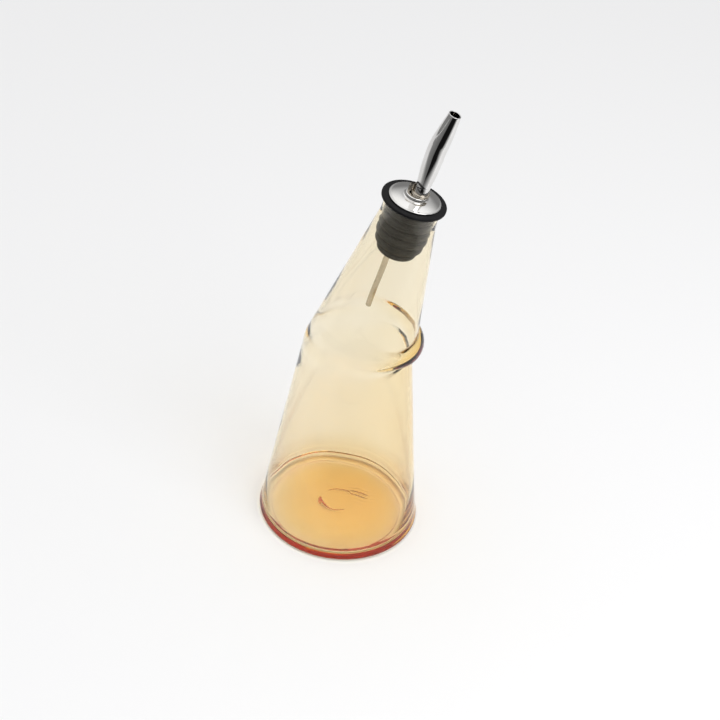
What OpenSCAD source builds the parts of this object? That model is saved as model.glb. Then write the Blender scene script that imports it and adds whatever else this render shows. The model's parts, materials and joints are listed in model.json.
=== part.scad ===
// Leaning glass oil bottle with a finned rubber stopper and a metal pourer.
// The bottle is one blown piece: an upright lower cone and a narrower cone that leans
// over it, with a rolled fold of glass where the two meet on the leaning side.
// Frame: millimetres, +Z up, origin at the centre of the foot, +X the way the neck leans.

/* [Bottle, lower cone] */
// Radius of the lower cone where it meets the table
base_r = 40; // [34:0.5:46]
// Slope of the lower cone's wall from upright, degrees
lower_slope = 8.12; // [6:0.1:9.5]
// Height at which the lower and upper cones meet
joint_z = 104.7; // [100:0.1:108]
// Radius of the rounded bead round the foot
foot_bead_r = 1.5; // [1:0.1:2.5]
// How far the foot bead stands outside the cone
foot_flare = 0.5; // [0.2:0.1:1]

/* [Bottle, upper cone] */
// Lean of the neck from upright, degrees
lean = 10.8; // [8:0.1:12]
// Height at which the neck's axis leaves the lower cone's axis
bend_z = 94.8; // [90:0.1:99]
// Height of the stopper's seat, measured on the neck's axis
neck_top_z = 183.9; // [175:0.1:192]
// Outer radius of the upper cone, carried on to the seat
neck_r = 10.8; // [10.4:0.1:11]
// Gain in radius per millimetre down the upper cone
neck_taper = 0.183; // [0.175:0.001:0.19]

/* [Bottle, mouth] */
// Bore of the mouth, radius
mouth_r = 11.4; // [11.2:0.1:11.5]
// Outer radius of the mouth's collar
collar_r = 12.4; // [12.3:0.1:12.8]
// Length of the collar down the neck
collar_len = 6.4; // [5:0.1:7]

/* [Bottle, fold] */
// How far the fold is set off the lower cone's axis, towards the lean
fold_shift = 4.9; // [4:0.1:5.5]
// Height of the fold's middle
fold_z = 109.9; // [108:0.1:111]
// Radius of the fold's centre circle
fold_ring_r = 19.7; // [19:0.1:20.5]
// Radius of the roll itself
fold_roll_r = 6; // [5:0.1:6.5]
// Tilt of the fold towards the lean, degrees
fold_tilt = 4; // [2:0.5:6]

/* [Glass thickness] */
// Wall of the upper cone
neck_wall = 1.15; // [0.9:0.05:1.3]
// Wall of the lower cone, on average round it
body_wall = 1.6; // [1.2:0.1:2]
// Wall just above the floor
heel_wall = 4; // [3:0.1:5]
// Wall of the fold
fold_wall = 1.6; // [1.2:0.1:2]
// How far the lower hollow is set off, which thickens the wall on the leaning side
hollow_shift = -0.5; // [-0.6:0.1:0]
// Height of the inner floor at its edge
floor_edge_z = 3.2; // [2.8:0.1:4]
// Height of the inner floor in the middle
floor_mid_z = 6.4; // [4.4:0.1:7]
// Radius of the hollow under the foot
foot_hollow_r = 30; // [24:1:32]
// Rise of the hollow under the foot
foot_hollow_rise = 0.9; // [0.6:0.1:2]

/* [Rubber stopper] */
// Radius of the stopper's flange
flange_r = 14.4; // [14:0.1:15]
// Thickness of the flange
flange_t = 1.4; // [1.2:0.1:2]
// Gap between a fin and the mouth's bore
fin_gap = 0.05; // [0.03:0.01:0.1]
// Number of fins
fin_count = 6; // [5:1:6]
// Depth of the first fin's middle below the flange's top
first_fin = 4.3; // [3.8:0.1:4.6]
// Distance from one fin to the next
fin_pitch = 4.25; // [4:0.05:4.4]
// Thickness of a fin
fin_t = 3.2; // [2.4:0.1:3.6]
// Depth of the groove between fins
fin_groove = 1.3; // [1:0.1:2]
// Loss in radius at the first of the smaller fins
fin_taper = 0.75; // [0.4:0.05:1]

/* [Pourer] */
// Outer radius of the stem that the stopper holds
stem_r = 5; // [4.8:0.1:5.2]
// Running gap between the stem and the rubber
stem_gap = 0.05; // [0.03:0.01:0.1]
// Radius of the domed disc
disc_r = 11.6; // [11:0.1:12.5]
// Height of the dome, without its boss
dome_h = 1.7; // [1.4:0.1:2]
// Radius of the boss in the middle of the disc
boss_r = 5; // [4.8:0.1:5.2]
// Height of the boss's top above the seat
boss_z = 3.2; // [3:0.1:3.6]
// Offset of the spout from the axis
spout_x = 1.5; // [1.4:0.1:1.6]
// Outer radius of the spout at its foot
spout_foot_r = 3.15; // [3:0.05:3.15]
// Outer radius of the spout's belly
spout_belly_r = 4.1; // [3.6:0.1:4.3]
// Outer radius of the spout's tip
spout_tip_r = 2.65; // [2.4:0.05:3]
// Height at which the spout begins to bend
spout_bend_z = 23; // [20:0.5:25]
// Angle of the spout's bend, degrees
spout_bend = 6.5; // [4:0.5:12]
// Radius of the bend's centre line
spout_bend_r = 50; // [40:1:80]
// Length of the tapered end beyond the bend
spout_end_len = 14.5; // [12:0.5:18]
// Wall of the spout, the stem and the disc
metal_t = 0.45; // [0.4:0.05:0.5]
// Outer radius of the vent tube
vent_r = 1.3; // [1.2:0.05:1.3]
// Bore of the vent tube, radius
vent_bore_r = 0.85; // [0.7:0.05:0.9]
// Offset of the vent tube from the axis
vent_x = -3; // [-3.1:0.05:-3]
// Height of the vent tube's open top above the seat
vent_top = 7.4; // [6.5:0.1:8]
// Depth of the vent tube's lower end below the seat
vent_depth = 60; // [50:1:62]

/* [Hidden] */
$fn = 96;

glass_colour = [0.93, 0.72, 0.38, 0.55];
rubber_colour = [0.1, 0.1, 0.11];
chrome_colour = [0.8, 0.8, 0.8];
shadow_chrome_colour = [0.66, 0.66, 0.66];

seat_gap = 0.1;                 // gap between faces that rest on each other on different bodies
past = 1;                       // how far a cut runs past the face that it opens
far = 200;                      // size of the block that trims the upper cone and its hollow

lower_fall = tan(lower_slope);
neck_top_x = (neck_top_z - bend_z) * tan(lean);
lip_z = -flange_t - seat_gap;   // top of the lip on the neck's axis
neck_len = (neck_top_z - joint_z) / cos(lean) + 8;
cone_lap = 0.8;                 // height over which the two cones, or their hollows, overlap
outer_seam_z = joint_z - 1.5;   // lower end of the upper cone
inner_seam_z = joint_z + 0.2;   // lower end of its hollow, higher up so that the wall is kept
hollow_top_z = 30;              // height at which the lower wall reaches its plain thickness
foot_edge_r = base_r + foot_flare;

fin_tip_r = mouth_r - fin_gap;
last_full_fin = 3;              // fins up to this one, counted from 0 at the top, are full size
fin_round = 1;                  // rounding of a fin's edges
end_round = 1.6;                // rounding of the plug's lower edge
plug_len = first_fin + (fin_count - 1) * fin_pitch + fin_t / 2;
disc_floor_z = seat_gap;
ferrule_h = 1.4;
ferrule_r = 4;

spout_sides = 24;
spout_straight_top = vent_top + 0.3;
spout_swell_len = spout_bend_z - spout_straight_top;
spout_arc_len = spout_bend_r * spout_bend * PI / 180;
// Lengths up the spout at which its rings stand: the foot, the swell, the bend and the taper
spout_stations = concat(
    [boss_z],
    [for (i = [0 : 6]) spout_straight_top + spout_swell_len * i / 6],
    [for (i = [1 : 3]) spout_bend_z + spout_arc_len * i / 3],
    [for (i = [1 : 7]) spout_bend_z + spout_arc_len + spout_end_len * i / 7]
);

// Points along an arc about a centre, from one angle to another
function arc(centre, r, from, to, steps = 8) =
    [for (i = [0 : steps]) let (a = from + (to - from) * i / steps) centre + r * [cos(a), sin(a)]];

// Outer radius of the lower cone at a height, and of the upper cone at a depth below the seat
function lower_r(z) = base_r - z * lower_fall;
function upper_r(depth) = neck_r + neck_taper * depth;

// Wall of the lower cone at a height: thick at the heel, thinning to the plain wall
function lower_wall(z) =
    z >= hollow_top_z ? body_wall
        : body_wall + (heel_wall - body_wall) * pow(1 - z / hollow_top_z, 2);

// Radius of one fin: full size at first, then smaller towards the end of the plug
function fin_r(i) = fin_tip_r - fin_taper * pow(max(0, i - last_full_fin), 1.7);

// Outline of one fin, upwards from the groove below it to the groove above. The lowest fin has
// no groove below it, and a rounder edge there
function fin_outline(i) =
    let (
        z = -first_fin - i * fin_pitch,
        r = fin_r(i),
        half = fin_t / 2,
        is_last = i == fin_count - 1,
        low_round = is_last ? end_round : fin_round
    )
    concat(
        is_last ? [] : [[r - fin_groove, z - half]],
        arc([r - low_round, z - half + low_round], low_round, -90, 0, 6),
        arc([r - fin_round, z + half - fin_round], fin_round, 0, 90, 5),
        [[r - fin_groove, z + half]]
    );

// The spout by its length s from the seat: its centre line's turn, its centre line in the
// lean plane, its outer radius, and a ring of points round it, drawn in by inset
function spout_turn(s) = spout_bend * min(1, max(0, (s - spout_bend_z) / spout_arc_len));
function spout_centre(s) =
    let (a = spout_turn(s), beyond = max(0, s - spout_bend_z - spout_arc_len))
    [spout_bend_r * (1 - cos(a)) + beyond * sin(a),
     min(s, spout_bend_z) + spout_bend_r * sin(a) + beyond * cos(a)];
function spout_r(s) =
    s < spout_straight_top ? spout_foot_r
        : s < spout_bend_z
            ? spout_foot_r + (spout_belly_r - spout_foot_r) * sin(90 * (s - spout_straight_top) / spout_swell_len)
            : spout_belly_r - (spout_belly_r - spout_tip_r)
                * pow(max(0, s - spout_bend_z - spout_arc_len) / spout_end_len, 1.3);
function spout_ring(s, inset) =
    let (c = spout_centre(s), a = spout_turn(s), r = spout_r(s) - inset)
    [for (j = [0 : spout_sides - 1])
        let (b = 360 * j / spout_sides)
        [c[0] + r * cos(b) * cos(a), r * sin(b), c[1] - r * cos(b) * sin(a)]];

// Puts a shape on the neck's axis: origin at the stopper's seat, Z up the neck
module on_neck() {
    translate([neck_top_x, 0, neck_top_z]) rotate([0, lean, 0]) children();
}

module above(z) {
    intersection() {
        children();
        translate([-far / 2, -far / 2, z]) cube(far);
    }
}

module lower_cone() {
    bead = [foot_edge_r - foot_bead_r, foot_bead_r];
    top_z = outer_seam_z + cone_lap;
    rotate_extrude() polygon(concat(
        [[0, 0]],
        arc(bead, foot_bead_r, -90, 55),
        [[lower_r(5), 5], [lower_r(top_z), top_z], [0, top_z]]
    ));
}

module upper_cone() {
    lip = [collar_r - 0.6, lip_z - 0.6];
    collar_end = lip_z - collar_len;
    rotate_extrude() polygon(concat(
        [[0, -neck_len], [upper_r(neck_len), -neck_len]],
        [[upper_r(1.5 - collar_end), collar_end - 1.5], [collar_r, collar_end]],
        arc(lip, 0.6, 0, 90),
        [[0, lip_z]]
    ));
}

// A disc with a round edge: its upper and lower faces lie inside the cones, so only the
// edge on the leaning side stands out of the wall
module rolled_disc(roll_r) {
    translate([fold_shift, 0, fold_z]) rotate([0, fold_tilt, 0]) rotate_extrude() union() {
        translate([0, -roll_r]) square([fold_ring_r, 2 * roll_r]);
        translate([fold_ring_r, 0]) circle(roll_r);
    }
}

module lower_hollow() {
    wall_points = [for (z = [6 : 4 : 30]) [lower_r(z) - lower_wall(z), z]];
    corner_r = 1.4;
    top_z = inner_seam_z + cone_lap;
    edge = lower_r(floor_edge_z) - lower_wall(floor_edge_z) - 0.5;
    floor_points = [for (i = [0 : 6])
        let (r = (edge - corner_r) * i / 6)
        [r, floor_edge_z + (floor_mid_z - floor_edge_z) * pow(cos(90 * i / 6), 2)]];
    translate([hollow_shift, 0, 0]) rotate_extrude() polygon(concat(
        floor_points,
        arc([edge - corner_r, floor_edge_z + corner_r], corner_r, -80, 0, 5),
        wall_points,
        [[lower_r(top_z) - body_wall, top_z], [0, top_z]]
    ));
}

module upper_hollow() {
    bore_end = (mouth_r + neck_wall - neck_r) / neck_taper;
    rotate_extrude() polygon([
        [0, -neck_len - past],
        [upper_r(neck_len + past) - neck_wall, -neck_len - past],
        [mouth_r, -bore_end],
        [mouth_r, past],
        [0, past]
    ]);
}

module foot_hollow() {
    rise = [for (i = [0 : 8]) [foot_hollow_r * i / 8, foot_hollow_rise * pow(cos(90 * i / 8), 2)]];
    rotate_extrude() polygon(concat([[0, -past]], rise, [[foot_hollow_r, -past]]));
}

// The blown bottle: both cones and the fold, hollow throughout
module glass_bottle() {
    color(glass_colour) difference() {
        union() {
            lower_cone();
            above(outer_seam_z) on_neck() upper_cone();
            rolled_disc(fold_roll_r);
        }
        union() {
            lower_hollow();
            above(inner_seam_z) on_neck() upper_hollow();
            rolled_disc(fold_roll_r - fold_wall);
        }
        foot_hollow();
    }
}

// The rubber stopper: a flange that rests on the lip and a finned plug, bored for the stem
module rubber_stopper() {
    edge_r = flange_t / 2;
    bore_r = stem_r + stem_gap;
    fins = [for (i = [fin_count - 1 : -1 : 0]) each fin_outline(i)];
    color(rubber_colour) on_neck() rotate_extrude() polygon(concat(
        [[bore_r, -plug_len]],
        fins,
        [[fin_tip_r - fin_groove, -flange_t]],
        arc([flange_r - edge_r, -edge_r], edge_r, -90, 90),
        [[bore_r, 0]]
    ));
}

// Outline of the domed disc with its boss, as one solid of revolution
module disc_solid() {
    dome = [for (i = [0 : 8])
        let (t = i / 8)
        [disc_r - 0.35 - (disc_r - 0.35 - boss_r - 0.5) * t, 0.7 + (dome_h - 0.7) * sin(90 * t)]];
    boss_edge = 0.5;
    rotate_extrude() polygon(concat(
        [[0, disc_floor_z], [disc_r - 0.2, disc_floor_z]],
        arc([disc_r - 0.35, disc_floor_z + 0.35], 0.35, -60, 60, 4),
        dome,
        [[boss_r, dome_h + 0.5]],
        arc([boss_r - boss_edge, boss_z - boss_edge], boss_edge, 0, 90, 5),
        [[0, boss_z]]
    ));
}

// The hollow pressed up under the dome, round the boss
module dome_hollow() {
    inner = boss_r + 0.6;
    outer = disc_r - 0.9;
    rotate_extrude() polygon([
        [inner, disc_floor_z - past],
        [outer, disc_floor_z - past],
        [outer, disc_floor_z + 0.15],
        [inner, dome_h - metal_t - 0.15]
    ]);
}

// The domed disc that closes the top of the stopper, pierced for the spout and the vent
module domed_disc() {
    color(chrome_colour) on_neck() difference() {
        disc_solid();
        dome_hollow();
        translate([spout_x, 0, -past]) cylinder(r = spout_foot_r - metal_t, h = boss_z + 2 * past);
        translate([vent_x, 0, -past]) cylinder(r = vent_r, h = boss_z + 2 * past);
    }
}

// The beaded ring round the spout's foot, notched where the vent tube stands
module spout_ferrule() {
    bead_r = ferrule_h / 4;
    color(shadow_chrome_colour) on_neck() difference() {
        translate([spout_x, 0, boss_z]) rotate_extrude() difference() {
            union() {
                square([ferrule_r - bead_r, ferrule_h]);
                for (i = [0, 1])
                    translate([ferrule_r - bead_r, bead_r * (2 * i + 1)]) circle(bead_r);
            }
            translate([0, -past]) square([spout_foot_r, ferrule_h + 2 * past]);
        }
        translate([vent_x, 0, 0]) cylinder(r = vent_r, h = vent_top);
    }
}

// The tapered pouring spout, open at both ends: one skin swept up its centre line outside
// and down it again inside
module pour_spout() {
    rings = [for (s = spout_stations) spout_ring(s, 0), for (i = [len(spout_stations) - 1 : -1 : 0])
        spout_ring(spout_stations[i], metal_t)];
    count = len(rings);
    points = [for (ring = rings) each ring];
    faces = [for (i = [0 : count - 1], j = [0 : spout_sides - 1])
        let (k = (j + 1) % spout_sides, next = (i + 1) % count)
        [i * spout_sides + j, next * spout_sides + j, next * spout_sides + k, i * spout_sides + k]];
    color(chrome_colour) on_neck() translate([spout_x, 0, 0])
        polyhedron(points = points, faces = faces, convexity = 6);
}

// The tube that carries the pourer in the rubber and lets the oil in at the bottom
module pour_stem() {
    stem_top = disc_floor_z;
    stem_len = plug_len + 0.6;
    color(chrome_colour) on_neck() translate([0, 0, -stem_len]) difference() {
        cylinder(r = stem_r, h = stem_len + stem_top);
        translate([0, 0, -past]) cylinder(r = stem_r - metal_t, h = stem_len + stem_top + 2 * past);
    }
}

// The thin breather tube: in the air above the disc, deep in the bottle below
module vent_tube() {
    cut_angle = 25;
    block = 4 * vent_r;
    color(shadow_chrome_colour) on_neck() translate([vent_x, 0, 0]) difference() {
        translate([0, 0, -vent_depth]) cylinder(r = vent_r, h = vent_depth + vent_top);
        translate([0, 0, -vent_depth - past]) cylinder(r = vent_bore_r, h = vent_depth + vent_top + 2 * past);
        translate([vent_r, 0, vent_top]) rotate([0, -cut_angle, 0])
            translate([-block * 0.9, -block / 2, 0]) cube(block);
    }
}

glass_bottle();
rubber_stopper();
domed_disc();
spout_ferrule();
pour_spout();
pour_stem();
vent_tube();
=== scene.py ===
"""The looks of a leaning glass oil bottle with a rubber stopper and a steel pourer.

Lengths are in metres. The stopper, the pourer and the upper part of the bottle share one leaning axis,
which is the spout_turn joint's: on_neck() takes points from that axis's own frame, with its origin at the
stopper's seat and its z up the neck, to the frame that everything else is in.
"""
import json
import math

import bpy
import numpy as np
from mathutils import Matrix, Vector


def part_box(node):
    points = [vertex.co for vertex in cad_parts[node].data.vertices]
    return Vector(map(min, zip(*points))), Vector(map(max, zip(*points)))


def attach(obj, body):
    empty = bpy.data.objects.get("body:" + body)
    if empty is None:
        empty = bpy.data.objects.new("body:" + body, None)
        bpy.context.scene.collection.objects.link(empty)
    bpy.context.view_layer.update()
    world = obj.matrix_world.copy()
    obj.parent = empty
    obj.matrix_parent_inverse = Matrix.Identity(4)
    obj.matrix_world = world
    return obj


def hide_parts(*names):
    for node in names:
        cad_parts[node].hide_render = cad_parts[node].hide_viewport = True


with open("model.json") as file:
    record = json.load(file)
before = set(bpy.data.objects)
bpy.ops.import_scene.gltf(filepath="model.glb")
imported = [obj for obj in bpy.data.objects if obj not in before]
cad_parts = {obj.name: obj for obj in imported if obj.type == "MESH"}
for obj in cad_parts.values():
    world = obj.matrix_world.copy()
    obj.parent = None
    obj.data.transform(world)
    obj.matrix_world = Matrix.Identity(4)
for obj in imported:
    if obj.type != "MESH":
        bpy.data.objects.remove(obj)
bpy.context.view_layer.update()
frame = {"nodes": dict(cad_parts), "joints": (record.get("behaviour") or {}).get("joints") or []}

MM = 0.001
TAU = 2 * math.pi
CREASE = math.radians(38)   # edges that turn by more than this stay crisp


# ---------------------------------------------------------------- places taken from the CAD model

turn = next(j for j in frame["joints"] if j["name"] == "spout_turn")
SEAT = np.array(turn["pos_m"])
NECK_AXIS = np.array(turn["axis"]) / np.linalg.norm(turn["axis"])
LEAN = math.atan2(NECK_AXIS[0], NECK_AXIS[2])
NECK_SIDE = np.array([math.cos(LEAN), 0.0, -math.sin(LEAN)])
ACROSS = np.array([0.0, 1.0, 0.0])
FOOT_EDGE_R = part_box("glass_bottle")[1].x


def on_neck(points):
    """Points in the neck's frame, as an array whose last axis is x, y, z, taken to the model's frame."""
    p = np.asarray(points, float)
    return SEAT + p[..., 0:1] * NECK_SIDE + p[..., 1:2] * ACROSS + p[..., 2:3] * NECK_AXIS


# ---------------------------------------------------------------- meshes from rings of points

def skin(name, rings, body, replaces, loop=False):
    """One smooth mesh through rings of points. A ring of one point closes an end; loop joins the last
    ring to the first. It rides on a CAD body and stands for the CAD nodes in replaces."""
    starts = np.cumsum([0] + [len(r) for r in rings])
    faces = []
    pairs = list(zip(range(len(rings) - 1), range(1, len(rings))))
    if loop:
        pairs.append((len(rings) - 1, 0))
    for a, b in pairs:
        n = max(len(rings[a]), len(rings[b]))
        for j in range(n):
            k = (j + 1) % n
            low = [starts[a] + j, starts[a] + k] if len(rings[a]) > 1 else [starts[a]]
            high = [starts[b] + k, starts[b] + j] if len(rings[b]) > 1 else [starts[b]]
            faces.append([int(i) for i in low + high])
    mesh = bpy.data.meshes.new(name)
    mesh.from_pydata([tuple(p) for p in np.concatenate(rings)], [], faces)
    mesh.polygons.foreach_set("use_smooth", [True] * len(faces))
    mesh.validate()
    piece = bpy.data.objects.new(name, mesh)
    bpy.context.scene.collection.objects.link(piece)
    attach(piece, body)
    if replaces:
        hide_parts(*replaces)
    return piece


def angles(sides):
    return np.arange(sides) * TAU / sides


def ring(r, z, sides, centre=0.0):
    """A level ring about the line x = centre. r and z are numbers, or one value for each side."""
    a = angles(sides)
    return np.stack([centre + r * np.cos(a), r * np.sin(a), np.broadcast_to(z, a.shape)], -1)


def arc(centre, r, first, last, steps):
    """Points (radius, height) along an arc, between two angles in degrees."""
    a = np.radians(np.linspace(first, last, steps + 1))
    return [(centre[0] + r * math.cos(t), centre[1] + r * math.sin(t)) for t in a]


def ease(t):
    """0 to 1 with flat ends, for t from 0 to 1."""
    t = np.clip(t, 0, 1)
    return t * t * (3 - 2 * t)


# ---------------------------------------------------------------- the glass bottle

GLASS_SIDES = 168
BASE_R = FOOT_EDGE_R - 0.5 * MM     # the lower cone, carried on down to the table
LOWER_SLOPE = math.tan(math.radians(8.12))
LOWER_WALL = 1.6 * MM
HEEL_WALL = 1.4 * MM        # added to the lower wall at the foot, and fading out up to HEEL_TOP
HEEL_TOP = 24 * MM
LOWER_TOP = 86 * MM         # the lower cone's own rings end here, and the fold's fan of rings begins
NECK_R = 10.8 * MM          # the upper cone, carried on up to the seat
NECK_TAPER = 0.183
NECK_WALL = 1.15 * MM
NECK_FOOT = 56 * MM         # depth below the seat where the fan ends and the neck's own rings begin
MOUTH_R = 11.4 * MM
COLLAR_R = 12.4 * MM
COLLAR_LEN = 6.4 * MM
LIP_Z = -1.5 * MM           # in the neck's frame
JOINT_Z = 104.7 * MM        # where the two cones meet
HOLLOW_SHIFT = -0.5 * MM    # the lower hollow stands off centre, so the leaning side's wall is thicker

FOLD = np.array([4.9 * MM, 0.0, 109.9 * MM])
FOLD_RING_R = 20.4 * MM
FOLD_ROLL_R = 5.2 * MM
FOLD_TILT = math.radians(4)
FOLD_DEEPEST = math.radians(25)
FOLD_SOLID = 3.6 * MM       # thickness of glass in the fold
FOLD_SINK = 2.2 * MM        # how far the fold sinks into the wall where it fades out
FAN_MIDDLE = np.array([2.5 * MM, 0.0, FOLD[2] - 1.5 * MM])
FAN_ORIGIN_R = 12 * MM      # the rays that find the fold's surface start this far from the middle
FAN_LENGTH = 40 * MM
FAN_STEPS = 104
FAN_REACH = math.radians(52)

FOOT_HOLLOW_R = 30 * MM
FOOT_RISE = 0.8 * MM
HEEL_R = 34 * MM            # outside this the underside curves up to the wall
HEEL_RISE = 1.6 * MM
PONTIL_R = 8.0 * MM
PATCH_AT = 9 * MM           # the brushed patch's place, both along the lean and across it
PATCH_DEPTH = 0.24 * MM
FLOOR_R = 33.2 * MM
FLOOR_EDGE_Z = 1.5 * MM
FLOOR_DOME = 5.2 * MM
FLOOR_TILT = 0.04
FLOOR_THICK_SIDE = math.radians(30)
FLOOR_SHIFT = -1.0 * MM


def lower_r(z):
    return BASE_R - LOWER_SLOPE * z


def lower_wall(z):
    """Thickness of the lower cone's wall: thick at the heel, and even from HEEL_TOP up."""
    return LOWER_WALL + HEEL_WALL * np.clip(1 - z / HEEL_TOP, 0, 1) ** 2


def wobble(a, z, size):
    """The uneven skin of hand-blown glass: slow waves round the bottle and up it."""
    h = z / (10 * MM)
    return size * (
        0.5 * np.sin(2 * a + 0.55 * h + 0.8)
        + 0.35 * np.sin(3 * a - 0.9 * h)
        + 0.3 * np.sin(5 * a + 1.7 * h + 2.1)
        + 0.2 * np.sin(9 * a - 2.6 * h + 0.4)
    )


def blend_min(a, b, k):
    """The smaller of two gaps, rounded over where they are within k of each other."""
    h = np.clip(k - np.abs(a - b), 0, None) / k
    return np.minimum(a, b) - h * h * k / 4


def cones_gap(p, lower_inset, upper_inset, shift, low, high):
    """How far points stand outside the two cones, drawn in by the insets, with the lower cone giving
    way to the upper one between two heights."""
    z = p[..., 2]
    lower = np.hypot(p[..., 0] - shift, p[..., 1]) - lower_r(z) + lower_inset
    q = p - SEAT
    depth = -(q @ NECK_AXIS)
    off_axis = np.linalg.norm(q + depth[..., None] * NECK_AXIS, axis=-1)
    upper = off_axis - NECK_R - NECK_TAPER * depth + upper_inset
    w = ease((z - low) / (high - low))
    return lower * (1 - w) + upper * w


def away(p):
    """0 where the fold is deepest, up to 1 on the other side of the bottle, where it fades out."""
    q = p - FOLD
    deepest = q[..., 0] * math.cos(FOLD_DEEPEST) + q[..., 1] * math.sin(FOLD_DEEPEST)
    cosine = deepest / np.maximum(np.hypot(q[..., 0], q[..., 1]), 1e-6)
    return ease(0.8 - cosine)


def fold_gap(p, inset):
    """How far points stand outside the rolled fold, whose ring is set off towards the lean."""
    q = p - FOLD
    axis = np.array([math.sin(FOLD_TILT), 0.0, math.cos(FOLD_TILT)])
    up = q @ axis
    out = np.linalg.norm(q - up[..., None] * axis, axis=-1)
    return np.hypot(out - FOLD_RING_R, up) - FOLD_ROLL_R + inset


def outer_gap(p):
    """The bottle's outside: crisp where the fold is deepest, and soft where it fades out."""
    soft = away(p)
    cones = cones_gap(p, 0, 0, 0, JOINT_Z - (1.5 + 4 * soft) * MM, JOINT_Z + (2.5 + 4 * soft) * MM)
    return blend_min(cones, fold_gap(p, FOLD_SINK * soft), (1 + 5 * soft) * MM)


def inner_gap(p):
    """The hollow hardly follows the fold, which is nearly solid glass on the side of the lean."""
    soft = away(p)
    half = (5 + 12 * soft) * MM
    cones = cones_gap(p, LOWER_WALL, NECK_WALL, HOLLOW_SHIFT, JOINT_Z - half, JOINT_Z + half)
    return blend_min(cones, fold_gap(p, FOLD_SOLID), (2 + 5 * soft) * MM)


def fan_rings(gap):
    """Rings up across the fold: each is where a cone of rays from round the bottle's middle meets the
    skin, found by halving the ray's length again and again."""
    tilt = LEAN / 2
    side = np.array([math.cos(tilt), 0.0, -math.sin(tilt)])
    up = np.array([math.sin(tilt), 0.0, math.cos(tilt)])
    a = angles(GLASS_SIDES)
    out = np.cos(a)[:, None] * side + np.sin(a)[:, None] * ACROSS
    start = FAN_MIDDLE + FAN_ORIGIN_R * out
    rings = []
    for e in np.linspace(-FAN_REACH, FAN_REACH, FAN_STEPS + 1):
        way = math.cos(e) * out + math.sin(e) * up
        near = np.zeros(GLASS_SIDES)
        far = np.full(GLASS_SIDES, FAN_LENGTH)
        for _ in range(36):
            mid = (near + far) / 2
            outside = gap(start + mid[:, None] * way) > 0
            far = np.where(outside, mid, far)
            near = np.where(outside, near, mid)
        rings.append(start + far[:, None] * way)
    return rings


def band(a, middle, half):
    """1 at an angle, falling smoothly to 0 at half a width away on either side, all in degrees but a."""
    off = np.abs((a - math.radians(middle) + math.pi) % TAU - math.pi)
    return ease(1 - off / math.radians(half))


def pontil(r, a):
    """The scar left where the bottle was held: a broken ring, deeper on one side, and a brushed patch."""
    ring_r = PONTIL_R + 0.6 * MM * np.sin(2 * a + 0.6)
    width = 0.4 * MM + 0.6 * MM * band(a, -132, 48)
    groove = np.exp(-(((r - ring_r) / width) ** 2))
    depth = 1.5 * band(a, -130, 52) + 0.6 * band(a, -78, 52) + 0.7 * band(a, 100, 70)
    x, y = r * np.cos(a) - PATCH_AT, r * np.sin(a) - PATCH_AT
    patch = np.exp(-((x / (6.5 * MM)) ** 2) - (y / (4 * MM)) ** 2)
    lines = np.sin((y - 0.25 * x) / (0.42 * MM) + 1.5 * np.sin(x / (2.2 * MM)))
    return depth * groove * MM + PATCH_DEPTH * patch * (lines + 0.8)


def foot_rings():
    """From the middle of the underside, out over the ring it stands on and up its rounded heel."""
    a = angles(GLASS_SIDES)
    rings = [np.array([[0.0, 0.0, FOOT_RISE]])]
    under_scar = np.linspace(0.4 * MM, 19 * MM, 76)
    for r in np.concatenate([under_scar, np.linspace(20 * MM, FOOT_HOLLOW_R, 12)]):
        lift = FOOT_RISE * math.cos(math.pi / 2 * r / FOOT_HOLLOW_R) ** 2
        rings.append(ring(r, lift + pontil(r, a), GLASS_SIDES))
    for r in np.linspace(FOOT_HOLLOW_R + 0.8 * MM, HEEL_R, 4)[:-1]:
        rings.append(ring(r, 0.0, GLASS_SIDES))
    heel_width = FOOT_EDGE_R - 0.3 * MM - HEEL_R
    for t in np.radians(np.linspace(-90, 10, 22)):
        rings.append(ring(HEEL_R + heel_width * math.cos(t), HEEL_RISE * (1 + math.sin(t)), GLASS_SIDES))
    return rings


def lower_outer_rings():
    """Up the lower cone from the heel; its waves fade out towards the foot."""
    a = angles(GLASS_SIDES)
    heights = np.concatenate([np.linspace(3.6 * MM, 8 * MM, 5), np.linspace(10 * MM, LOWER_TOP, 39)])
    fade = ease((heights - 4 * MM) / (20 * MM))
    return [ring(lower_r(z) + f * wobble(a, z, 0.03 * MM), z, GLASS_SIDES) for z, f in zip(heights, fade)]


def neck_outer_rings():
    """Up the upper cone, over the collar and the rounded lip."""
    a = angles(GLASS_SIDES)
    rings = []
    for depth in np.linspace(NECK_FOOT, 9.5 * MM, 24):
        r = NECK_R + NECK_TAPER * depth + wobble(a, -depth, 0.04 * MM)
        rings.append(on_neck(ring(r, -depth, GLASS_SIDES)))
    lip, bore_edge = 0.6 * MM, 0.35 * MM
    profile = [(COLLAR_R, LIP_Z - below) for below in (COLLAR_LEN, 4 * MM, 1.2 * MM)]
    profile += arc((COLLAR_R - lip, LIP_Z - lip), lip, 0, 90, 6)
    profile += arc((MOUTH_R + bore_edge, LIP_Z - bore_edge), bore_edge, 90, 180, 5)
    return rings + [on_neck(ring(r, z, GLASS_SIDES)) for r, z in profile]


def neck_inner_rings():
    """Down the mouth's bore and the upper hollow."""
    a = angles(GLASS_SIDES)
    bore_end = (MOUTH_R + NECK_WALL - NECK_R) / NECK_TAPER
    rings = [on_neck(ring(MOUTH_R, z, GLASS_SIDES)) for z in np.linspace(LIP_Z - 1.5 * MM, -bore_end, 5)]
    for depth in np.linspace(bore_end + 1.5 * MM, NECK_FOOT, 24):
        r = NECK_R + NECK_TAPER * depth - NECK_WALL
        r = r + ease((depth - bore_end) / (12 * MM)) * wobble(a + 0.7, -depth, 0.1 * MM)
        rings.append(on_neck(ring(r, -depth, GLASS_SIDES)))
    return rings


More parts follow.
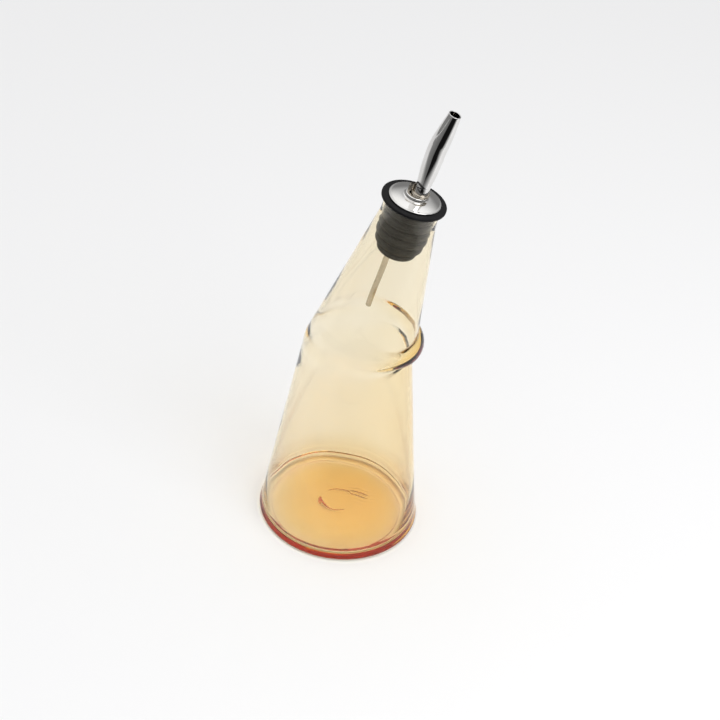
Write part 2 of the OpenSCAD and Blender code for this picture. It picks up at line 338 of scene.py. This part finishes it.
def floor_top(r, a):
    """Height of the bottle's floor inside: a thick middle that falls quickly at its edge, thicker on
    one side, with low rings in it from the blowing."""
    dome = np.cos(math.pi / 2 * min(r / FLOOR_R, 1)) ** 0.6
    rolling = 0.05 * MM * np.cos(TAU * r / (6.5 * MM)) * ease(r / (8 * MM))
    return FLOOR_EDGE_Z + (FLOOR_DOME + FLOOR_TILT * r * np.cos(a - FLOOR_THICK_SIDE) + rolling) * dome


def lower_inner_rings():
    """Down the lower hollow to the heel, then in over the floor to its middle. The floor stands off
    centre, so one side of the heel is thicker."""
    a = angles(GLASS_SIDES)
    corner = lower_r(0) - lower_wall(0) - FLOOR_R
    profile = []
    for z in np.concatenate([np.linspace(LOWER_TOP, 10 * MM, 39), np.linspace(8.5 * MM, 5.5 * MM, 3)]):
        r = lower_r(z) - lower_wall(z) + ease((z - 5 * MM) / (20 * MM)) * wobble(a + 0.7, z, 0.06 * MM)
        profile.append((r, z))
    profile += arc((FLOOR_R, FLOOR_EDGE_Z + corner), corner, 0, -86, 10)
    floor_r = FLOOR_R * np.sin(np.linspace(math.pi / 2, 0, 60))[1:-1]
    profile += [(r, floor_top(r, a)) for r in floor_r]
    rings = []
    for r, z in profile:
        around = ring(r, z, GLASS_SIDES, HOLLOW_SHIFT)
        around[:, 1] += FLOOR_SHIFT * (1 - ease(z / HEEL_TOP))
        rings.append(around)
    rings.append(np.array([[HOLLOW_SHIFT, FLOOR_SHIFT, FLOOR_EDGE_Z + FLOOR_DOME]]))
    return rings


bottle = skin(
    "bottle_glass",
    foot_rings()
    + lower_outer_rings()
    + fan_rings(outer_gap)
    + neck_outer_rings()
    + neck_inner_rings()
    + fan_rings(inner_gap)[::-1]
    + lower_inner_rings(),
    "bottle",
    ["glass_bottle"],
)


# ---------------------------------------------------------------- the rubber stopper

RUBBER_SIDES = 144
FLANGE_R = 14.4 * MM
FLANGE_T = 1.4 * MM
STEM_BORE_R = 5.05 * MM
FIN_COUNT = 6
FIRST_FIN = 4.3 * MM        # depth of the first fin's middle below the flange's top
FIN_PITCH = 4.25 * MM
FIN_T = 3.2 * MM
FIN_TIP_R = 11.35 * MM
FIN_TAPER = 0.75 * MM       # loss in radius at the first of the smaller fins
FIN_GROOVE = 1.3 * MM


def turned(name, profile, sides, body, replaces):
    """A closed outline (radius, height) turned round the neck's axis, with crisp corners."""
    rings = [on_neck(ring(r, z, sides)) for r, z in profile]
    piece = skin(name, rings, body, replaces, loop=True)
    piece.data.set_sharp_from_angle(angle=CREASE)
    return piece


def fin_profile(i):
    """One fin's outline, upwards. The lower fins are smaller, and the lowest has a rounder edge."""
    z = -FIRST_FIN - i * FIN_PITCH
    r = FIN_TIP_R - FIN_TAPER * max(0, i - 3) ** 1.7
    last = i == FIN_COUNT - 1
    low_edge = (1.6 if last else 1.0) * MM
    high_edge = 1.0 * MM
    outline = [] if last else [(r - FIN_GROOVE, z - FIN_T / 2)]
    outline += arc((r - low_edge, z - FIN_T / 2 + low_edge), low_edge, -90, 0, 8)
    outline += arc((r - high_edge, z + FIN_T / 2 - high_edge), high_edge, 4, 90, 7)
    return outline + [(r - FIN_GROOVE, z + FIN_T / 2)]


def stopper_profile():
    """Down the bore for the stem, up the fins, and round the flange."""
    plug_end = -FIRST_FIN - (FIN_COUNT - 1) * FIN_PITCH - FIN_T / 2
    edge, chamfer = 0.45 * MM, 0.3 * MM
    outline = [(STEM_BORE_R, z) for z in np.linspace(0, plug_end + chamfer, 8)]
    outline += [(STEM_BORE_R + chamfer, plug_end)]
    for i in range(FIN_COUNT - 1, -1, -1):
        outline += fin_profile(i)
    outline += [(FIN_TIP_R - FIN_GROOVE, -FLANGE_T), (FIN_TIP_R + 1.2 * MM, -FLANGE_T)]
    outline += arc((FLANGE_R - edge, -FLANGE_T + edge), edge, -90, 0, 5)
    outline += arc((FLANGE_R - edge, -edge), edge, 0, 90, 5)
    return outline + [(FLANGE_R - 1.6 * MM, 0.0), (FLANGE_R - 4 * MM, 0.0)]


stopper = turned(
    "stopper_rubber", stopper_profile(), RUBBER_SIDES, "stopper", ["rubber_stopper"]
)


# ---------------------------------------------------------------- the metal pourer

METAL_SIDES = 112
SPOUT_SIDES = 72
VENT_SIDES = 48
DISC_R = 11.6 * MM
DISC_FLOOR_Z = 0.1 * MM
DOME_H = 1.7 * MM
BOSS_R = 5.0 * MM
BOSS_BORE_R = 3.4 * MM
BOSS_Z = 3.2 * MM
BEAD_R = 0.35 * MM
FERRULE_R = 4 * MM
SPOUT_X = 1.5 * MM
SPOUT_FOOT_R = 3.15 * MM
SPOUT_BELLY_R = 4.1 * MM
SPOUT_TIP_R = 2.65 * MM
SPOUT_SWELL = 7.7 * MM      # lengths up the spout where it starts to swell, and where it starts to bend
SPOUT_BEND = 23 * MM
SPOUT_BEND_R = 50 * MM
SPOUT_TURN = math.radians(6.5)
SPOUT_BENT = SPOUT_BEND + SPOUT_BEND_R * SPOUT_TURN     # the length up the spout where the bend ends
SPOUT_END_LEN = 14.5 * MM
SPOUT_T = 0.45 * MM
VENT_X = -3.0 * MM
VENT_R = 1.3 * MM
VENT_BORE_R = 0.85 * MM
VENT_TOP = 7.4 * MM
VENT_END = -60 * MM


def disc_profile():
    """The domed disc with its boss: a rolled edge, a flat round it, the dome, and a stepped boss."""
    edge, boss_edge = 0.35 * MM, 0.45 * MM
    outline = [(BOSS_BORE_R, DISC_FLOOR_Z), (DISC_R - edge, DISC_FLOOR_Z)]
    outline += arc((DISC_R - edge, DISC_FLOOR_Z + edge), edge, -80, 90, 10)
    start, end = DISC_R - 0.9 * MM, BOSS_R + 0.5 * MM
    low = DISC_FLOOR_Z + 2 * edge
    for t in np.linspace(0, 1, 22):
        rise = math.sin(math.pi / 2 * t) ** 0.9
        outline.append((start + (end - start) * t, low + (DOME_H - low) * rise))
    outline += [(BOSS_R + 0.1 * MM, DOME_H + 0.15 * MM), (BOSS_R, DOME_H + 0.5 * MM)]
    outline += arc((BOSS_R - boss_edge, BOSS_Z - boss_edge), boss_edge, 0, 90, 7)
    return outline + [(BOSS_BORE_R, BOSS_Z)]


def ferrule_rings():
    """Two beads round the spout's foot, drawn in where the vent tube stands."""
    bore = SPOUT_FOOT_R + 0.02 * MM
    outline = [(bore, BOSS_Z + 4 * BEAD_R), (bore, BOSS_Z)]
    for beads_below in (0, 1):
        middle = (FERRULE_R - BEAD_R, BOSS_Z + BEAD_R * (2 * beads_below + 1))
        outline += arc(middle, BEAD_R, -84, 84, 9)
    a = angles(METAL_SIDES)
    apart = SPOUT_X - VENT_X
    clear_r = VENT_R + 0.03 * MM
    along = np.maximum(-apart * np.cos(a), 0)
    inside = along**2 - apart**2 + clear_r**2
    limit = np.where(inside > 0, along - np.sqrt(np.clip(inside, 0, None)), np.inf)
    return [on_neck(ring(np.minimum(r, limit), z, METAL_SIDES, SPOUT_X)) for r, z in outline]


def spout_radius(s):
    """Straight at the foot, swelling up to the bend, and tapering beyond it."""
    if s < SPOUT_SWELL:
        return SPOUT_FOOT_R
    if s < SPOUT_BEND:
        t = (s - SPOUT_SWELL) / (SPOUT_BEND - SPOUT_SWELL)
        return SPOUT_FOOT_R + (SPOUT_BELLY_R - SPOUT_FOOT_R) * math.sin(math.pi / 2 * t)
    t = max(0, s - SPOUT_BENT) / SPOUT_END_LEN
    return SPOUT_BELLY_R - (SPOUT_BELLY_R - SPOUT_TIP_R) * t**1.3


def spout_ring(s, inset):
    """A ring square to the spout's centre line at a length s up it, inside its skin by inset."""
    turned_by = SPOUT_TURN * min(1, max(0, (s - SPOUT_BEND) / (SPOUT_BENT - SPOUT_BEND)))
    beyond = max(0, s - SPOUT_BENT)
    x = SPOUT_X + SPOUT_BEND_R * (1 - math.cos(turned_by)) + beyond * math.sin(turned_by)
    z = min(s, SPOUT_BEND) + SPOUT_BEND_R * math.sin(turned_by) + beyond * math.cos(turned_by)
    a = angles(SPOUT_SIDES)
    r = spout_radius(s) - inset
    side = r * np.cos(a)
    points = [x + side * math.cos(turned_by), r * np.sin(a), z - side * math.sin(turned_by)]
    return on_neck(np.stack(points, -1))


def spout_rings():
    """Up the outside, round the rim, and down the inside again."""
    rim_h = 0.12 * MM
    rim_foot = SPOUT_BENT + SPOUT_END_LEN - rim_h
    stations = np.linspace(BOSS_Z, rim_foot, 110)
    rings = [spout_ring(s, 0.0) for s in stations]
    for t in np.radians(np.linspace(15, 165, 9)):
        rings.append(spout_ring(rim_foot + rim_h * math.sin(t), SPOUT_T / 2 * (1 - math.cos(t))))
    return rings + [spout_ring(s, SPOUT_T) for s in stations[::-1]]


def vent_rings():
    """Up a thin tube and down its bore; its top is cut at a slant that falls away from the spout."""
    slant = math.tan(math.radians(25))
    rings = []
    for r, ends in ((VENT_R, (0.0, 1.0)), (VENT_BORE_R, (1.0, 0.0))):
        top = VENT_TOP - (VENT_R - r * np.cos(angles(VENT_SIDES))) * slant
        for t in np.linspace(*ends, 40):
            rings.append(on_neck(ring(r, VENT_END + (top - VENT_END) * t, VENT_SIDES, VENT_X)))
    return rings


disc = turned("pourer_disc", disc_profile(), METAL_SIDES, "pourer", ["domed_disc"])
ferrule = skin("pourer_ferrule", ferrule_rings(), "pourer", ["spout_ferrule"], loop=True)
spout = skin("pourer_spout", spout_rings(), "pourer", ["pour_spout"], loop=True)
vent = skin("pourer_vent", vent_rings(), "pourer", ["vent_tube"], loop=True)
for piece in (ferrule, spout, vent):
    piece.data.set_sharp_from_angle(angle=CREASE)


# ---------------------------------------------------------------- materials

GRAIN_LOW, GRAIN_HIGH = 0.3, 0.7    # noise seldom leaves this range, so it is stretched from it


def material(name, **values):
    """A material with one Principled shader whose named sockets are set; returns it and its parts."""
    m = bpy.data.materials.new(name)
    m.use_nodes = True
    shader = m.node_tree.nodes["Principled BSDF"]
    for socket, value in values.items():
        shader.inputs[socket.replace("_", " ")].default_value = value
    return m, m.node_tree, shader


def grain(tree, scale, detail, stretch=(1, 1, 1), tilt=0.0):
    """Noise in the object's own coordinates, with its z tilted from upright. A stretch below 1 draws it
    out along an axis."""
    place = tree.nodes.new("ShaderNodeTexCoord")
    upright = tree.nodes.new("ShaderNodeMapping")
    upright.inputs["Rotation"].default_value = (0, tilt, 0)
    squeeze = tree.nodes.new("ShaderNodeMapping")
    squeeze.inputs["Scale"].default_value = stretch
    noise = tree.nodes.new("ShaderNodeTexNoise")
    noise.inputs["Scale"].default_value = scale
    noise.inputs["Detail"].default_value = detail
    noise.inputs["Roughness"].default_value = 0.55
    tree.links.new(place.outputs["Object"], upright.inputs["Vector"])
    tree.links.new(upright.outputs["Vector"], squeeze.inputs["Vector"])
    tree.links.new(squeeze.outputs["Vector"], noise.inputs["Vector"])
    return noise.outputs["Fac"]


def spread(tree, source, low, high, socket):
    """Sends grain, stretched to run from low to high, to a shader's socket."""
    ramp = tree.nodes.new("ShaderNodeMapRange")
    ramp.inputs["From Min"].default_value = GRAIN_LOW
    ramp.inputs["From Max"].default_value = GRAIN_HIGH
    ramp.inputs["To Min"].default_value = low
    ramp.inputs["To Max"].default_value = high
    tree.links.new(source, ramp.inputs["Value"])
    tree.links.new(ramp.outputs["Result"], socket)


def tint(tree, source, dark, light, socket):
    """Sends a colour that runs from dark to light with the grain to a shader's socket."""
    ramp = tree.nodes.new("ShaderNodeValToRGB")
    low, high = ramp.color_ramp.elements
    low.position, low.color = GRAIN_LOW, (*dark, 1)
    high.position, high.color = GRAIN_HIGH, (*light, 1)
    tree.links.new(source, ramp.inputs["Fac"])
    tree.links.new(ramp.outputs["Color"], socket)


def bump(tree, shader, source, height, strength=1.0):
    """Lets the grain raise and lower the surface by up to a height."""
    node = tree.nodes.new("ShaderNodeBump")
    node.inputs["Strength"].default_value = strength
    node.inputs["Distance"].default_value = height
    tree.links.new(source, node.inputs["Height"])
    tree.links.new(node.outputs["Normal"], shader.inputs["Normal"])


def amber_glass():
    """Clear blown glass, tinted by its thickness, with faint cords and waves in its skin."""
    m, tree, shader = material("amber_glass", IOR=1.5, Transmission_Weight=1.0)
    waves = grain(tree, 45, 1, (1, 1, 0.45))
    tint(tree, waves, (0.985, 0.985, 0.98), (1, 1, 1), shader.inputs["Base Color"])
    spread(tree, grain(tree, 160, 2), 0.0, 0.012, shader.inputs["Roughness"])
    bump(tree, shader, waves, 0.06 * MM)
    absorb = tree.nodes.new("ShaderNodeVolumeAbsorption")
    absorb.inputs["Color"].default_value = (0.952, 0.72, 0.09, 1)
    absorb.inputs["Density"].default_value = 160
    tree.links.new(absorb.outputs["Volume"], tree.nodes["Material Output"].inputs["Volume"])
    return m


def black_rubber():
    """Moulded black rubber, matt, with a fine grain and a greyer bloom in places."""
    m, tree, shader = material("black_rubber", Specular_IOR_Level=0.12)
    bloom = grain(tree, 260, 4)
    tint(tree, bloom, (0.005, 0.005, 0.0055), (0.011, 0.011, 0.012), shader.inputs["Base Color"])
    spread(tree, bloom, 0.32, 0.5, shader.inputs["Roughness"])
    bump(tree, shader, grain(tree, 2600, 3), 0.02 * MM, 0.4)
    return m


def bright_metal(name, dark, light, rough, brush):
    """Polished or brushed steel: fine lines drawn out along the neck, and a slight unevenness."""
    m, tree, shader = material(name, Metallic=1.0)
    lines = grain(tree, 900, 3, (1, 1, brush), LEAN)
    tint(tree, grain(tree, 140, 2), dark, light, shader.inputs["Base Color"])
    spread(tree, lines, *rough, shader.inputs["Roughness"])
    bump(tree, shader, lines, 0.004 * MM, 0.35)
    return m


bottle.data.materials.append(amber_glass())
stopper.data.materials.append(black_rubber())
chrome = bright_metal("polished_metal", (0.7, 0.69, 0.67), (0.78, 0.77, 0.76), (0.05, 0.11), 0.3)
steel = bright_metal("tube_steel", (0.44, 0.4, 0.34), (0.58, 0.53, 0.46), (0.12, 0.22), 0.04)
for piece, finish in ((disc, chrome), (spout, chrome), (ferrule, steel), (vent, steel)):
    piece.data.materials.append(finish)
stem = frame["nodes"]["pour_stem"].data
stem.materials.clear()
stem.materials.append(chrome)


# ---------------------------------------------------------------- floor, light and camera

def flat_sheet(name, left, right, near, far, z):
    """A level rectangle for the stage."""
    mesh = bpy.data.meshes.new(name)
    corners = [(left, near, z), (right, near, z), (right, far, z), (left, far, z)]
    mesh.from_pydata(corners, [], [(0, 1, 2, 3)])
    sheet = bpy.data.objects.new(name, mesh)
    bpy.context.scene.collection.objects.link(sheet)
    return sheet


def stage_floor():
    """A pale matt table, a hair below the foot."""
    floor = flat_sheet("floor", -3.0, 3.0, -3.0, 3.0, -0.05 * MM)
    m, _, shader = material("floor_white", Roughness=1.0, Specular_IOR_Level=0.0)
    shader.inputs["Base Color"].default_value = (0.9, 0.9, 0.905, 1)
    floor.data.materials.append(m)


def dark_front():
    """What lies beyond the front edge of the table: a dark ground that only reflections see. It fades
    in from the table's white at that edge, and its grey depends on the direction from the bottle."""
    edge, full_dark, reach = 0.085, 0.25, 2.5
    card = flat_sheet("dark_front", -reach, reach, -edge, -reach, -0.04 * MM)
    card.rotation_euler = (0, 0, math.radians(7.7))
    m = bpy.data.materials.new("dark_ground")
    m.use_nodes = True
    tree = m.node_tree
    place = tree.nodes.new("ShaderNodeTexCoord")
    split = tree.nodes.new("ShaderNodeSeparateXYZ")
    tree.links.new(place.outputs["Object"], split.inputs["Vector"])

    direction = tree.nodes.new("ShaderNodeMath")
    direction.operation = "ARCTAN2"
    tree.links.new(split.outputs["Y"], direction.inputs[0])
    tree.links.new(split.outputs["X"], direction.inputs[1])
    left_to_right = tree.nodes.new("ShaderNodeMapRange")
    left_to_right.inputs["From Min"].default_value = -math.pi
    left_to_right.inputs["From Max"].default_value = 0.0
    tree.links.new(direction.outputs["Value"], left_to_right.inputs["Value"])
    ramp = tree.nodes.new("ShaderNodeValToRGB")
    stops = ramp.color_ramp.elements
    stops[0].position, stops[0].color = 0.0, (0.3, 0.3, 0.3, 1)
    stops[1].position, stops[1].color = 1.0, (0.3, 0.3, 0.3, 1)
    for where, grey in ((0.40, 0.16), (0.43, 0.006), (0.74, 0.01), (0.80, 0.06), (0.9, 0.2)):
        stops.new(where).color = (grey, grey, grey, 1)
    tree.links.new(left_to_right.outputs["Result"], ramp.inputs["Fac"])

    fade = tree.nodes.new("ShaderNodeMapRange")
    fade.inputs["From Min"].default_value = -edge
    fade.inputs["From Max"].default_value = -full_dark
    tree.links.new(split.outputs["Y"], fade.inputs["Value"])
    blend = tree.nodes.new("ShaderNodeMix")
    blend.data_type = "RGBA"
    blend.inputs["A"].default_value = (0.88, 0.88, 0.88, 1)
    tree.links.new(fade.outputs["Result"], blend.inputs["Factor"])
    tree.links.new(ramp.outputs["Color"], blend.inputs["B"])
    glow = tree.nodes.new("ShaderNodeEmission")
    tree.links.new(blend.outputs["Result"], glow.inputs["Color"])
    tree.links.new(glow.outputs["Emission"], tree.nodes["Material Output"].inputs["Surface"])
    card.data.materials.append(m)
    card.visible_camera = False
    card.visible_diffuse = False
    card.visible_transmission = False
    card.visible_shadow = False
    card.visible_volume_scatter = False


def area_light(name, location, target, side, watts):
    """A square light that faces a target."""
    data = bpy.data.lights.new(name, "AREA")
    data.shape = "SQUARE"
    data.size = side
    data.energy = watts
    lamp = bpy.data.objects.new(name, data)
    lamp.location = location
    lamp.rotation_mode = "QUATERNION"
    lamp.rotation_quaternion = (Vector(target) - Vector(location)).to_track_quat("-Z", "Y")
    bpy.context.scene.collection.objects.link(lamp)


def soft_world(strength, low_strength, full_at):
    """A plain white dome that is darker round the horizon. It reaches its full strength at an elevation
    whose sine is full_at."""
    band_width = 0.5
    world = bpy.data.worlds.new("studio")
    world.use_nodes = True
    tree = world.node_tree
    way = tree.nodes.new("ShaderNodeTexCoord")
    split = tree.nodes.new("ShaderNodeSeparateXYZ")
    rise = tree.nodes.new("ShaderNodeMapRange")
    rise.interpolation_type = "SMOOTHSTEP"
    rise.inputs["From Min"].default_value = full_at - band_width
    rise.inputs["From Max"].default_value = full_at
    rise.inputs["To Min"].default_value = low_strength
    rise.inputs["To Max"].default_value = strength
    tree.links.new(way.outputs["Generated"], split.inputs["Vector"])
    tree.links.new(split.outputs["Z"], rise.inputs["Value"])
    tree.links.new(rise.outputs["Result"], tree.nodes["Background"].inputs["Strength"])
    tree.nodes["Background"].inputs["Color"].default_value = (1, 1, 1, 1)
    bpy.context.scene.world = world


def look(azimuth, elevation, roll, aim, distance, lens):
    """The camera, turned about its own line of sight by roll. Azimuth 0 looks along +Y."""
    a, e, r = (math.radians(t) for t in (azimuth, elevation, roll))
    ahead = Vector((-math.sin(a) * math.cos(e), math.cos(a) * math.cos(e), -math.sin(e)))
    right = Vector((math.cos(a), math.sin(a), 0))
    up = right.cross(ahead)
    x_axis = math.cos(r) * right + math.sin(r) * up
    y_axis = math.cos(r) * up - math.sin(r) * right
    data = bpy.data.cameras.new("camera")
    data.lens = lens
    data.sensor_width = 36
    data.clip_start = 0.01
    camera = bpy.data.objects.new("camera", data)
    pose = Matrix((x_axis, y_axis, -ahead)).transposed().to_4x4()
    pose.translation = Vector(aim) - distance * ahead
    camera.matrix_world = pose
    bpy.context.scene.collection.objects.link(camera)
    bpy.context.scene.camera = camera


stage_floor()
dark_front()
soft_world(1.27, 0.25, 0.85)
area_light("key", (0.7, -0.35, 0.7), (0, 0, 0.05), 0.7, 3.4)
look(azimuth=17.7, elevation=36.28, roll=7.28, aim=(-0.0368, 0.1216, 0), distance=0.71536, lens=59.43)
bpy.context.scene.view_settings.view_transform = "Standard"

# Light has to pass many skins of glass, and a blurred path would lose what comes through them.
cycles = bpy.context.scene.cycles
cycles.max_bounces = 40
cycles.transmission_bounces = 40
cycles.glossy_bounces = 8
cycles.diffuse_bounces = 4
cycles.blur_glossy = 0.0
cycles.sample_clamp_indirect = 0.0
